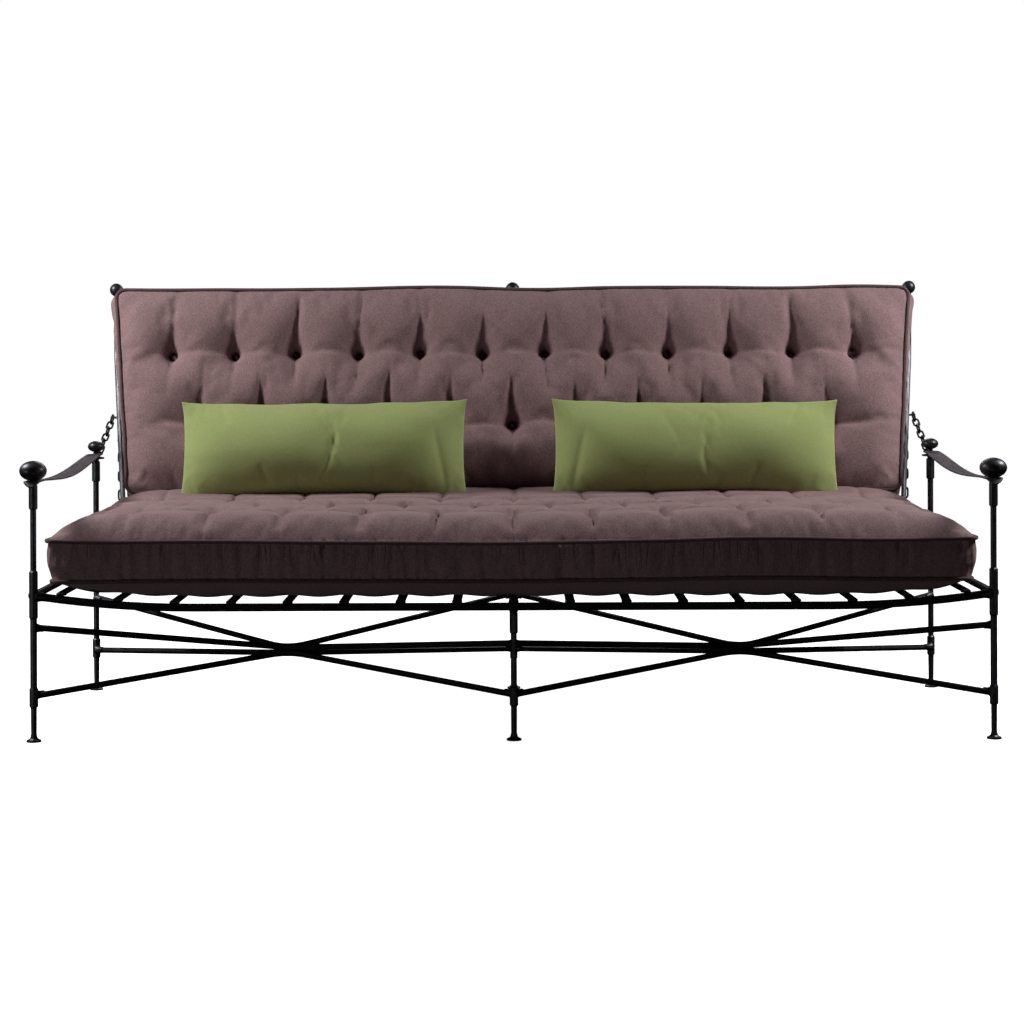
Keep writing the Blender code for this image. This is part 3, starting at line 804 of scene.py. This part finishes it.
def set_points(obj, points):
    obj.data.vertices.foreach_set("co", np.asarray(points, dtype=np.float32).ravel())
    obj.data.update()


def get_points(obj):
    flat = np.empty(len(obj.data.vertices) * 3, dtype=np.float32)
    obj.data.vertices.foreach_get("co", flat)
    return flat.reshape(-1, 3).astype(float)


def subdivide(obj):
    """Apply one level of subdivision."""
    smooth = obj.modifiers.new("smooth", "SUBSURF")
    smooth.levels = 1
    graph = bpy.context.evaluated_depsgraph_get()
    mesh = bpy.data.meshes.new_from_object(obj.evaluated_get(graph))
    obj.modifiers.remove(smooth)
    old = obj.data
    obj.data = mesh
    bpy.data.meshes.remove(old)
    obj.data.shade_smooth()


def wobble(x, seed):
    """Smooth repeatable noise of one number, about -1 to 1."""
    return noise.noise(Vector((x, seed * 7.31, seed * 3.17))) * 1.6


def button_rows(rows, pitch):
    """(x, v) of every button. Rows with an even count are staggered by half a pitch."""
    spots = []
    for row, (v, count) in enumerate(rows):
        for index in range(count):
            x = (index - (count - 1) / 2) * pitch
            seed = row * 40 + index
            spots.append((x + 0.0025 * wobble(seed * 1.7, 1), v + 0.003 * wobble(seed * 2.3, 2)))
    return spots


def hollow(share):
    """1 at the bottom of a fold, 0 at its shoulder, with the round profile of stuffed cloth."""
    share = np.clip(share, 0, 1)
    return 1 - np.sqrt(1 - (1 - share) ** 2)


def level_folds(x, v, rows, fold):
    """Folds that join the buttons of a row: (depth, reach up, reach down, half length)."""
    depth, reach_up, reach_down, half_length = fold
    made = np.zeros_like(x)
    for row_v, _ in rows:
        waver = np.array([0.004 * wobble(value * 9.0, 61) for value in x])
        away = v - row_v - waver
        share = np.where(away > 0, away / reach_up, -away / reach_down)
        ends = np.clip((half_length - np.abs(x)) / 0.08, 0, 1)
        made = np.maximum(made, depth * hollow(share) * ends)
    return made


def tuft_depth(x, v, buttons, dimple, crease):
    """Depth below the crown at (x, v): pits round the buttons, folds running up and down.

    dimple is (depth, half width, reach up, reach down); crease is (depth, half width, up,
    down). Both are sharpest at the bottom and round off towards the crown.
    """
    pit_depth, pit_x, pit_up, pit_down = dimple
    fold_depth, fold_width, fold_up, fold_down = crease
    depth = np.zeros_like(x)
    for number, (bx, bv) in enumerate(buttons):
        near = np.abs(x - bx) < 0.13
        dx, dv = x[near] - bx, v[near] - bv
        reach = np.where(dv > 0, pit_up, pit_down)
        away = np.sqrt((dx / pit_x) ** 2 + (dv / reach) ** 2)
        pit = pit_depth * hollow(away - BUTTON_R / pit_x)
        lean_up, lean_down = wobble(number * 3.1, 3), wobble(number * 4.7, 4)
        length = np.where(dv > 0, fold_up, fold_down)
        t = np.clip(np.abs(dv) / length, 0, 1)
        bend = np.where(dv > 0, lean_up, lean_down) * 0.016 * t ** 1.5
        side = np.abs(dx - bend)
        fold = fold_depth * (1 - t) ** 0.8 * hollow(side / (fold_width * (0.8 + 0.5 * t)))
        depth[near] = np.maximum(depth[near], np.maximum(pit, fold))
    return depth


def pucker(x, depth_below, seed, amount):
    """Small narrow folds that run away from a seam, strongest at the stitches."""
    folds = []
    for value in x:
        main = max(0.0, 1 - abs(wobble(value * 24.0, seed)) / 0.20)
        fine = max(0.0, 1 - abs(wobble(value * 47.0, seed + 1)) / 0.30)
        strength = max(0.55 + 0.45 * wobble(value * 5.0, seed + 2), 0.1)
        folds.append(-(main + 0.5 * fine) * strength)
    return amount * np.array(folds) * np.exp(-depth_below / 0.030)


# ---------------------------------------------------------------- seat cushion
def deck_line(x):
    """Smooth line over the slat tops, sagging a little between them."""
    spot = min(max(x / SLAT_PITCH + SLATS // 2, 0), 15.999)     # stops just short of the last slat
    left = int(spot)
    t = spot - left
    level = SLAT_TOPS[left] * (1 - t) + SLAT_TOPS[left + 1] * t
    return level + 0.0012 - 0.0045 * math.sin(math.pi * t) ** 2


def shoulder(edge, reach):
    """Quarter-round rise from 0 at a seam to 1 at a distance of reach from it."""
    return math.sqrt(1 - (1 - min(edge / reach, 1)) ** 2)


def seat_place(u, v, w):
    """Boxed seat: corners pulled out, welts that wander, a belly resting on the slats."""
    across, deep = 2 * u - 1, 2 * v - 1
    edge_x, edge_y = (1 - abs(across)) * SEAT_HALF, (1 - abs(deep)) * SEAT_HALF_DEEP
    across, deep = round_corner(across, deep, SEAT_HALF, SEAT_HALF_DEEP, SEAT_CORNER)
    taper = 0.010 * (1 - w) ** 1.5 - 0.003 * math.sin(math.pi * w)
    x = SEAT_SHIFT + across * (SEAT_HALF - taper - 0.010 * (1 - deep * deep))
    pull = 0.008 * (1 - across ** 6)
    y = (SEAT_HIGH[1] + SEAT_LOW[1]) / 2 + deep * (SEAT_HALF_DEEP - pull)
    wander = 0.0055 * wobble(x * 3.3, 11 if deep < 0 else 12) * (1 - abs(across) ** 8)
    top = SEAT_TOP_WELT + 0.004 * abs(across) ** 6 + wander
    floor_z = deck_line(x)
    low = max(SEAT_LOW_WELT + wander * 0.6, floor_z + 0.010)
    if w == 0:
        edge = min(edge_x, edge_y)
        return Vector((x, y, floor_z + (low - floor_z) * math.exp(-(edge / 0.030) ** 1.4)))
    if w == 1:
        crown = 0.046 * shoulder(edge_x, 0.19) * shoulder(edge_y, 0.085 if deep < 0 else 0.030)
        behind = min(max((v - 0.80) / 0.12, 0), 1)
        step = 0.016 * behind * behind * (3 - 2 * behind)
        rise = (0.005 * (v - 0.25) + step) * (1 - abs(across) ** 8)
        return Vector((x, y, top + crown + rise * shoulder(edge_y, 0.030)))
    return Vector((x, y, low + (top - low) * w))


def seat_cushion(looks):
    points, params, faces = skin((236, 72, 8), seat_place)
    obj = mesh_object("seat_pad", points, faces, looks["seat_linen"])
    front = SEAT_LOW[1]
    buttons = [(x, front + v) for x, v in button_rows(SEAT_ROWS, SEAT_PITCH)]
    param = np.array(params)
    at = get_points(obj)
    top = param[:, 2] == 1
    dimple = (0.010, 0.040, 0.040, 0.040)
    crease = (0.0, 0.01, 0.1, 0.1)
    at[top, 2] -= tuft_depth(at[top, 0], at[top, 1], buttons, dimple, crease)
    set_points(obj, at)
    welted, held = tied_down(param, at[:, :2], buttons, 0.011)
    inflate(obj, held, 5.0, 0.013, 0.030)
    sharpen(obj, welted)
    subdivide(obj)
    at = get_points(obj)
    upper = at[:, 2] > SEAT_TOP_WELT + 0.002
    crease = (0.014, 0.024, 0.150, 0.230)
    drop = tuft_depth(at[:, 0], at[:, 1], buttons, (0.011, 0.024, 0.028, 0.028), crease)
    drop = np.maximum(drop, level_folds(at[:, 0], at[:, 1] - front, SEAT_ROWS,
                                        (0.010, 0.018, 0.050, 0.92)))
    at[upper, 2] -= drop[upper]
    at = seat_gathers(at)
    set_points(obj, at)
    finish_cushion(obj, "seat_cushion", "frame")
    # The welt cords take the darker copy of the plum linen: painted shade, partly edge dirt.
    welts("seat_welt", seat_place, looks["shaded_plum_linen"], "frame")
    for number, (x, y) in enumerate(buttons):
        depth = lowest_near(at[upper], x, y)
        button("seat_button_%02d" % (number + 1), Vector((x, y, depth)), Vector((0, 0, 1)),
               looks["seat_linen"], "frame")


def lowest_near(at, x, y):
    near = np.hypot(at[:, 0] - x, at[:, 1] - y) < 0.010
    return float(at[near, 2].min())


def seat_gathers(at):
    """Gathers on the boxing and behind the top welt."""
    front = at[:, 1] < SEAT_LOW[1] + 0.03
    boxing = front & (at[:, 2] < SEAT_TOP_WELT - 0.001) & (at[:, 2] > SEAT_LOW_WELT + 0.001)
    gap = np.minimum(SEAT_TOP_WELT - at[boxing, 2], (at[boxing, 2] - SEAT_LOW_WELT) * 1.6)
    at[boxing, 1] -= pucker(at[boxing, 0], np.maximum(gap, 0), 21, 0.0080)
    behind = (at[:, 2] > SEAT_TOP_WELT + 0.001) & (at[:, 1] < SEAT_LOW[1] + 0.12)
    gap = at[behind, 1] - SEAT_LOW[1]
    at[behind, 2] += pucker(at[behind, 0], np.maximum(gap, 0) * 0.7, 22, 0.0040)
    return at


def finish_cushion(obj, node, body):
    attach(obj, body)
    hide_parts(node)


def welts(name, place, look, body):
    """Corded piping along both edges of a boxed cushion."""
    for level in (0, 1):
        loop = push_out(rim(place, level), WELT_PROUD)
        cord = tube("%s_%s" % (name, ("lower", "upper")[level]), loop, WELT_R, look, 8, True,
                    (0.01, 0.3, 1))
        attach(cord, body)


def push_out(loop, distance):
    """Move a closed loop outward in its own plane."""
    centre = sum(loop, Vector()) / len(loop)
    count = len(loop)
    normal = (loop[count // 8] - centre).cross(loop[count * 3 // 8] - centre).normalized()
    moved = []
    for index, point in enumerate(loop):
        run = (loop[(index + 1) % count] - loop[index - 1]).normalized()
        out = run.cross(normal)
        if out.dot(point - centre) < 0:
            out = -out
        moved.append(point + out.normalized() * distance)
    return moved


def button(name, place, facing, look, body):
    """Covered button: a domed disc with a turned-in edge."""
    profile = [(0.0, 0.0046)]
    for index in range(1, 9):
        turn = math.radians(90) * index / 8
        profile.append((BUTTON_R * math.sin(turn), 0.0046 * math.cos(turn)))
    profile += [(BUTTON_R * 0.96, -0.0016), (BUTTON_R * 0.8, -0.0028), (0.0, -0.0030)]
    made = lathe(name, profile, (0, 0, 0), look, 20)
    turn = facing.to_track_quat("Z", "Y").to_matrix().to_4x4()
    made.data.transform(Matrix.Translation(place + facing * 0.002) @ turn)
    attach(made, body)


# ---------------------------------------------------------------- back cushion
def back_half(along):
    share = (along - BACK_FOOT) / (BACK_HEAD - BACK_FOOT)
    return BACK_FOOT_HALF + (BACK_HEAD_HALF - BACK_FOOT_HALF) * share


def back_plan(u, v, w):
    """(x, along, ahead) of a lattice position on the boxed back cushion."""
    half_high = (BACK_HEAD - BACK_FOOT) / 2
    across, high = 2 * u - 1, 2 * v - 1
    edge = min((1 - abs(across)) * BACK_HEAD_HALF, (1 - abs(high)) * half_high)
    across, high = round_corner(across, high, BACK_HEAD_HALF, half_high, BACK_CORNER)
    pull = 0.005 * (1 - high ** 4)
    pull -= 0.0020 * wobble(high * 3.0 + across, 33) * (1 - high ** 6)
    along = (BACK_HEAD + BACK_FOOT) / 2 + high * half_high
    bulge = 0.018 * math.sin(math.pi * w) * (0.10 + 0.45 * (high + 1)) + 0.007 * (1 - w)
    x = across * (back_half(along) - pull + bulge)
    along += 0.0042 * wobble(x * 4.2, 31 if high > 0 else 32) * (1 - abs(across) ** 10)
    ahead = BACK_REAR + (BACK_FRONT - BACK_REAR) * w
    if w == 1:
        ahead += 0.022 * (1 - math.exp(-edge / 0.045))
    if w == 0:
        ahead -= 0.004 * (1 - math.exp(-edge / 0.045))
    if v == 0:
        along -= 0.016 * math.sin(math.pi * w)
    return x, along, ahead


def back_place(u, v, w):
    x, along, ahead = back_plan(u, v, w)
    return back_point(along, ahead, x)


def to_plan(at):
    """World points to (x, along, ahead) columns."""
    y, z = at[:, 1] - PIVOT.y, at[:, 2] - PIVOT.z
    along = y * math.sin(LEAN) + z * math.cos(LEAN)
    ahead = -y * math.cos(LEAN) + z * math.sin(LEAN)
    return np.column_stack((at[:, 0], along, ahead))


def to_world(plan):
    y = PIVOT.y + plan[:, 1] * math.sin(LEAN) - plan[:, 2] * math.cos(LEAN)
    z = PIVOT.z + plan[:, 1] * math.cos(LEAN) + plan[:, 2] * math.sin(LEAN)
    return np.column_stack((plan[:, 0], y, z))


def back_cushion(looks):
    points, params, faces = skin((178, 47, 8), back_place)
    obj = mesh_object("back_pad", points, faces, looks["back_linen"])
    buttons = button_rows(BACK_ROWS, BACK_PITCH)
    param = np.array(params)
    plan = to_plan(get_points(obj))
    front = param[:, 2] == 1
    dimple = (0.040, 0.055, 0.075, 0.040)
    plan[front, 2] -= tuft_depth(plan[front, 0], plan[front, 1], buttons, dimple,
                                 (0.0, 0.01, 0.1, 0.1))
    rear = param[:, 2] == 0
    plan[rear, 2] += tuft_depth(plan[rear, 0], plan[rear, 1], buttons, (0.012, 0.050, 0.060, 0.050),
                                (0.006, 0.030, 0.110, 0.110))
    set_points(obj, to_world(plan))
    welted, held = tied_down(param, plan[:, :2], buttons, 0.013)
    inflate(obj, held, 5.0, 0.018, 0.035)
    sharpen(obj, welted)
    subdivide(obj)
    plan = to_plan(get_points(obj))
    upper = plan[:, 2] > BACK_FRONT - 0.012
    drop = tuft_depth(plan[:, 0], plan[:, 1], buttons, (0.018, 0.029, 0.050, 0.020),
                      (0.017, 0.040, 0.190, 0.120))
    drop = np.maximum(drop, level_folds(plan[:, 0], plan[:, 1], BACK_ROWS,
                                        (0.009, 0.060, 0.020, 0.92)))
    plan[upper, 2] -= drop[upper]
    set_points(obj, to_world(plan))
    finish_cushion(obj, "back_cushion", "backrest")
    # The welt cords take the darker copy of the plum linen: painted shade, partly edge dirt.
    welts("back_welt", back_place, looks["shaded_plum_linen"], "backrest")
    facing = (back_point(0, 1) - back_point(0, 0)).normalized()
    for number, (x, along) in enumerate(buttons):
        near = upper & (np.hypot(plan[:, 0] - x, plan[:, 1] - along) < 0.010)
        place = back_point(along, float(plan[near, 2].min()) + 0.003, x)
        # The back buttons take the darker copy of the plum linen: painted shade for the pits they
        # sit in.
        button("back_button_%02d" % (number + 1), place, facing, looks["shaded_plum_linen"], "backrest")


# ---------------------------------------------------------------- pillows
def pillow_skin(name, look, seed):
    """Two full panels that share one seam round the edge."""
    nx, ny = 84, 30
    width, height = PILLOW_SIZE
    points, faces, index = [], [], {}
    for face_side in (1, -1):
        for i in range(nx + 1):
            for j in range(ny + 1):
                edge = i in (0, nx) or j in (0, ny)
                key = (i, j, 0 if edge else face_side)
                if key in index:
                    continue
                across, high = 2 * i / nx - 1, 2 * j / ny - 1
                full = (1 - across ** 4) * (1 - high ** 2) * (1 + 0.12 * high)
                index[key] = len(points)
                x = across * (width / 2 - 0.007 * (1 - high * high))
                z = high * (height / 2 - 0.006 * (1 - across ** 2))
                z += 0.0016 * wobble(across * 5 + 3 * high, seed) * (1 - across ** 8)
                ear = 0.006 * abs(across) ** 24 * abs(high) ** 10
                x, z = x + math.copysign(ear, across), z + math.copysign(ear, high)
                plump = -PILLOW_FRONT if face_side == 1 else PILLOW_BACK
                points.append(Vector((x, plump * full, z)))
        for i in range(nx):
            for j in range(ny):
                ring = []
                for di, dj in ((0, 0), (1, 0), (1, 1), (0, 1)):
                    a, b = i + di, j + dj
                    edge = a in (0, nx) or b in (0, ny)
                    ring.append(index[a, b, 0 if edge else face_side])
                faces.append(tuple(ring if face_side == 1 else reversed(ring)))
    return mesh_object(name, points, faces, look)


def pillow_creases(at, number):
    """One long slack fold and a few short ones above the lower seam, on the front panel."""
    front = at[:, 1] < 0
    moved = np.zeros(len(at))
    folds = ((-0.030, 0.115, 0.052, -0.030, 0.0032, 0.0085),
             (-0.150, -0.040, -0.128, -0.085, 0.0034, 0.0070),
             (0.262, 0.060, 0.292, -0.085, 0.0050, 0.0120),
             (-0.060, -0.060, -0.052, -0.110, 0.0030, 0.0065),
             (-0.255, 0.115, -0.225, 0.060, 0.0034, 0.0080),
             (0.120, -0.050, 0.126, -0.105, 0.0030, 0.0065))
    flip = 1 if number == 0 else -1
    for x0, z0, x1, z1, depth, width in folds:
        start, run = np.array((x0 * flip, z0)), np.array(((x1 - x0) * flip, z1 - z0))
        flat = at[:, (0, 2)] - start
        t = flat @ run / (run @ run)
        side = np.abs(flat[:, 0] * run[1] - flat[:, 1] * run[0]) / np.linalg.norm(run)
        ends = np.clip(np.minimum(t, 1.15 - t) * 3, 0, 1)
        moved += np.where(front, depth * ends * np.exp(-(side / width) ** 1.2), 0)
    return moved


def pillows(looks):
    for number, (name, side) in enumerate(SIDES):
        node = "pillow_" + name
        low, high = (Vector(corner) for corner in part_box(node))
        obj = pillow_skin("pillow_soft_" + name, looks["green"], 51 + number)
        seam = [vertex.index for vertex in obj.data.vertices if abs(vertex.co.y) < 1e-7]
        inflate(obj, seam, 6.0, 0.030, 0.004, 22)
        at = get_points(obj)
        rumple = [noise.noise(Vector((point[0] * 7, point[2] * 9, number * 5.0 + point[1])))
                  for point in at]
        at[:, 1] += np.array(rumple) * 0.006
        set_points(obj, at)
        subdivide(obj)
        at = get_points(obj)
        at[:, 1] += pillow_creases(at, number)
        set_points(obj, at)
        lean = Matrix.Rotation(-PILLOW_LEAN, 4, "X")
        turn = lean @ Matrix.Rotation(math.radians(0.4) * side, 4, "Y")
        centre = (low + high) / 2
        obj.data.transform(Matrix.Translation(centre) @ turn)
        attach(obj, "frame")
        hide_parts(node)


# ---------------------------------------------------------------- the whole scene
def build():
    looks = make_materials()
    camera()
    studio()
    frame_finishes(looks)
    finials(looks["iron"])
    back_balls(looks["iron"])
    welds(looks["iron"])
    rings(looks["iron"])
    chains(looks["iron"])
    straps(looks["leather"])
    seat_cushion(looks)
    back_cushion(looks)
    pillows(looks)


build()
